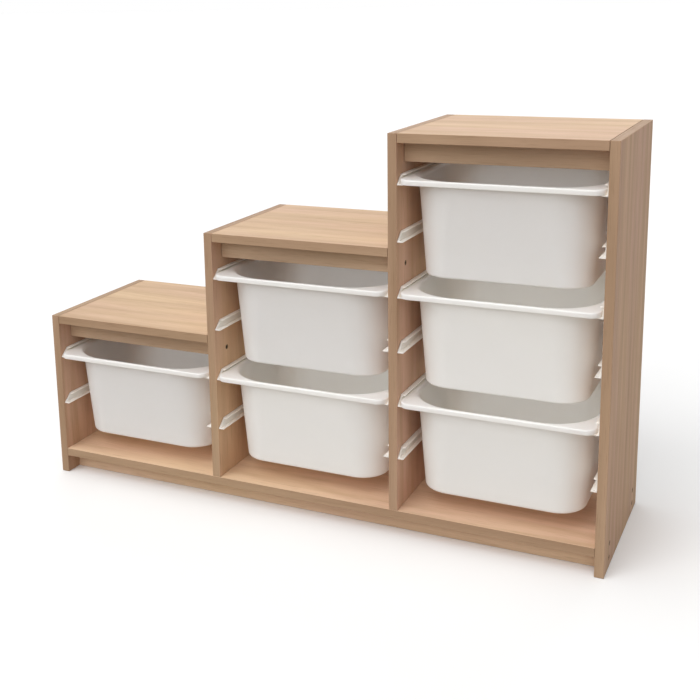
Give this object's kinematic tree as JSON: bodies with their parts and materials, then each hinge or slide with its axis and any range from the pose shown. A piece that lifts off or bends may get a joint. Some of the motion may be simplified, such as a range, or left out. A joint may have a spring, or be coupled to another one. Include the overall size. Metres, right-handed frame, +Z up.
{
  "type": "chest of drawers",
  "caption": "Stepped open-fronted storage chest of wood board, with tapered plastic bins that slide in channel runners.",
  "frame": {"origin": "on the floor, under the middle of the overall width and depth", "axes": "+X to the right as seen from the front, +Y from the front to the back, +Z up"},
  "size_m": [1.242, 0.361, 0.8162],
  "materials": {
    "oak_board": "satin light oak decor, fine straight grain",
    "bin_plastic": "satin white moulded plastic",
    "runner_plastic": "satin creamy white moulded plastic",
    "screw_steel": "dull bronzed steel"
  },
  "bodies": {
    "carcass": {"side_left": "oak_board", "divider_left": "oak_board", "divider_right": "oak_board", "side_right": "oak_board", "base_panel": "oak_board", "plinth_front": "oak_board", "plinth_rear": "oak_board", "top_left": "oak_board", "rail_front_left": "oak_board", "rail_rear_left": "oak_board", "top_middle": "oak_board", "rail_front_middle": "oak_board", "rail_rear_middle": "oak_board", "top_right": "oak_board", "rail_front_right": "oak_board", "rail_rear_right": "oak_board", "runner_left_1_left": "runner_plastic", "runner_left_1_right": "runner_plastic", "runner_left_2_left": "runner_plastic", "runner_left_2_right": "runner_plastic", "runner_middle_1_left": "runner_plastic", "runner_middle_1_right": "runner_plastic", "runner_middle_2_left": "runner_plastic", "runner_middle_2_right": "runner_plastic", "runner_middle_3_left": "runner_plastic", "runner_middle_3_right": "runner_plastic", "runner_middle_4_left": "runner_plastic", "runner_middle_4_right": "runner_plastic", "runner_right_1_left": "runner_plastic", "runner_right_1_right": "runner_plastic", "runner_right_2_left": "runner_plastic", "runner_right_2_right": "runner_plastic", "runner_right_3_left": "runner_plastic", "runner_right_3_right": "runner_plastic", "runner_right_4_left": "runner_plastic", "runner_right_4_right": "runner_plastic", "runner_right_5_left": "runner_plastic", "runner_right_5_right": "runner_plastic", "runner_right_6_left": "runner_plastic", "runner_right_6_right": "runner_plastic", "screw_side_left_base_front": "screw_steel", "screw_side_left_plinth_front": "screw_steel", "screw_side_right_base_front": "screw_steel", "screw_side_right_plinth_front": "screw_steel", "screw_divider_left_rail_front": "screw_steel", "screw_divider_right_rail_front": "screw_steel", "screw_side_left_base_rear": "screw_steel", "screw_side_left_plinth_rear": "screw_steel", "screw_side_right_base_rear": "screw_steel", "screw_side_right_plinth_rear": "screw_steel", "screw_divider_left_rail_rear": "screw_steel", "screw_divider_right_rail_rear": "screw_steel", "screw_base_divider_left": "screw_steel", "screw_base_divider_right": "screw_steel"},
    "bin_left_2": {"bin_left_2": "bin_plastic"},
    "bin_middle_2": {"bin_middle_2": "bin_plastic"},
    "bin_middle_4": {"bin_middle_4": "bin_plastic"},
    "bin_right_2": {"bin_right_2": "bin_plastic"},
    "bin_right_4": {"bin_right_4": "bin_plastic"},
    "bin_right_6": {"bin_right_6": "bin_plastic"}
  },
  "joints": [
    {"name": "bin_left_2_slide", "type": "slide", "parent": "carcass", "child": "bin_left_2", "axis": [0, -1, 0], "range_m": [0, 0.22]},
    {"name": "bin_middle_2_slide", "type": "slide", "parent": "carcass", "child": "bin_middle_2", "axis": [0, -1, 0], "range_m": [0, 0.22]},
    {"name": "bin_middle_4_slide", "type": "slide", "parent": "carcass", "child": "bin_middle_4", "axis": [0, -1, 0], "range_m": [0, 0.22]},
    {"name": "bin_right_2_slide", "type": "slide", "parent": "carcass", "child": "bin_right_2", "axis": [0, -1, 0], "range_m": [0, 0.22]},
    {"name": "bin_right_4_slide", "type": "slide", "parent": "carcass", "child": "bin_right_4", "axis": [0, -1, 0], "range_m": [0, 0.22]},
    {"name": "bin_right_6_slide", "type": "slide", "parent": "carcass", "child": "bin_right_6", "axis": [0, -1, 0], "range_m": [0, 0.22]}
  ]
}
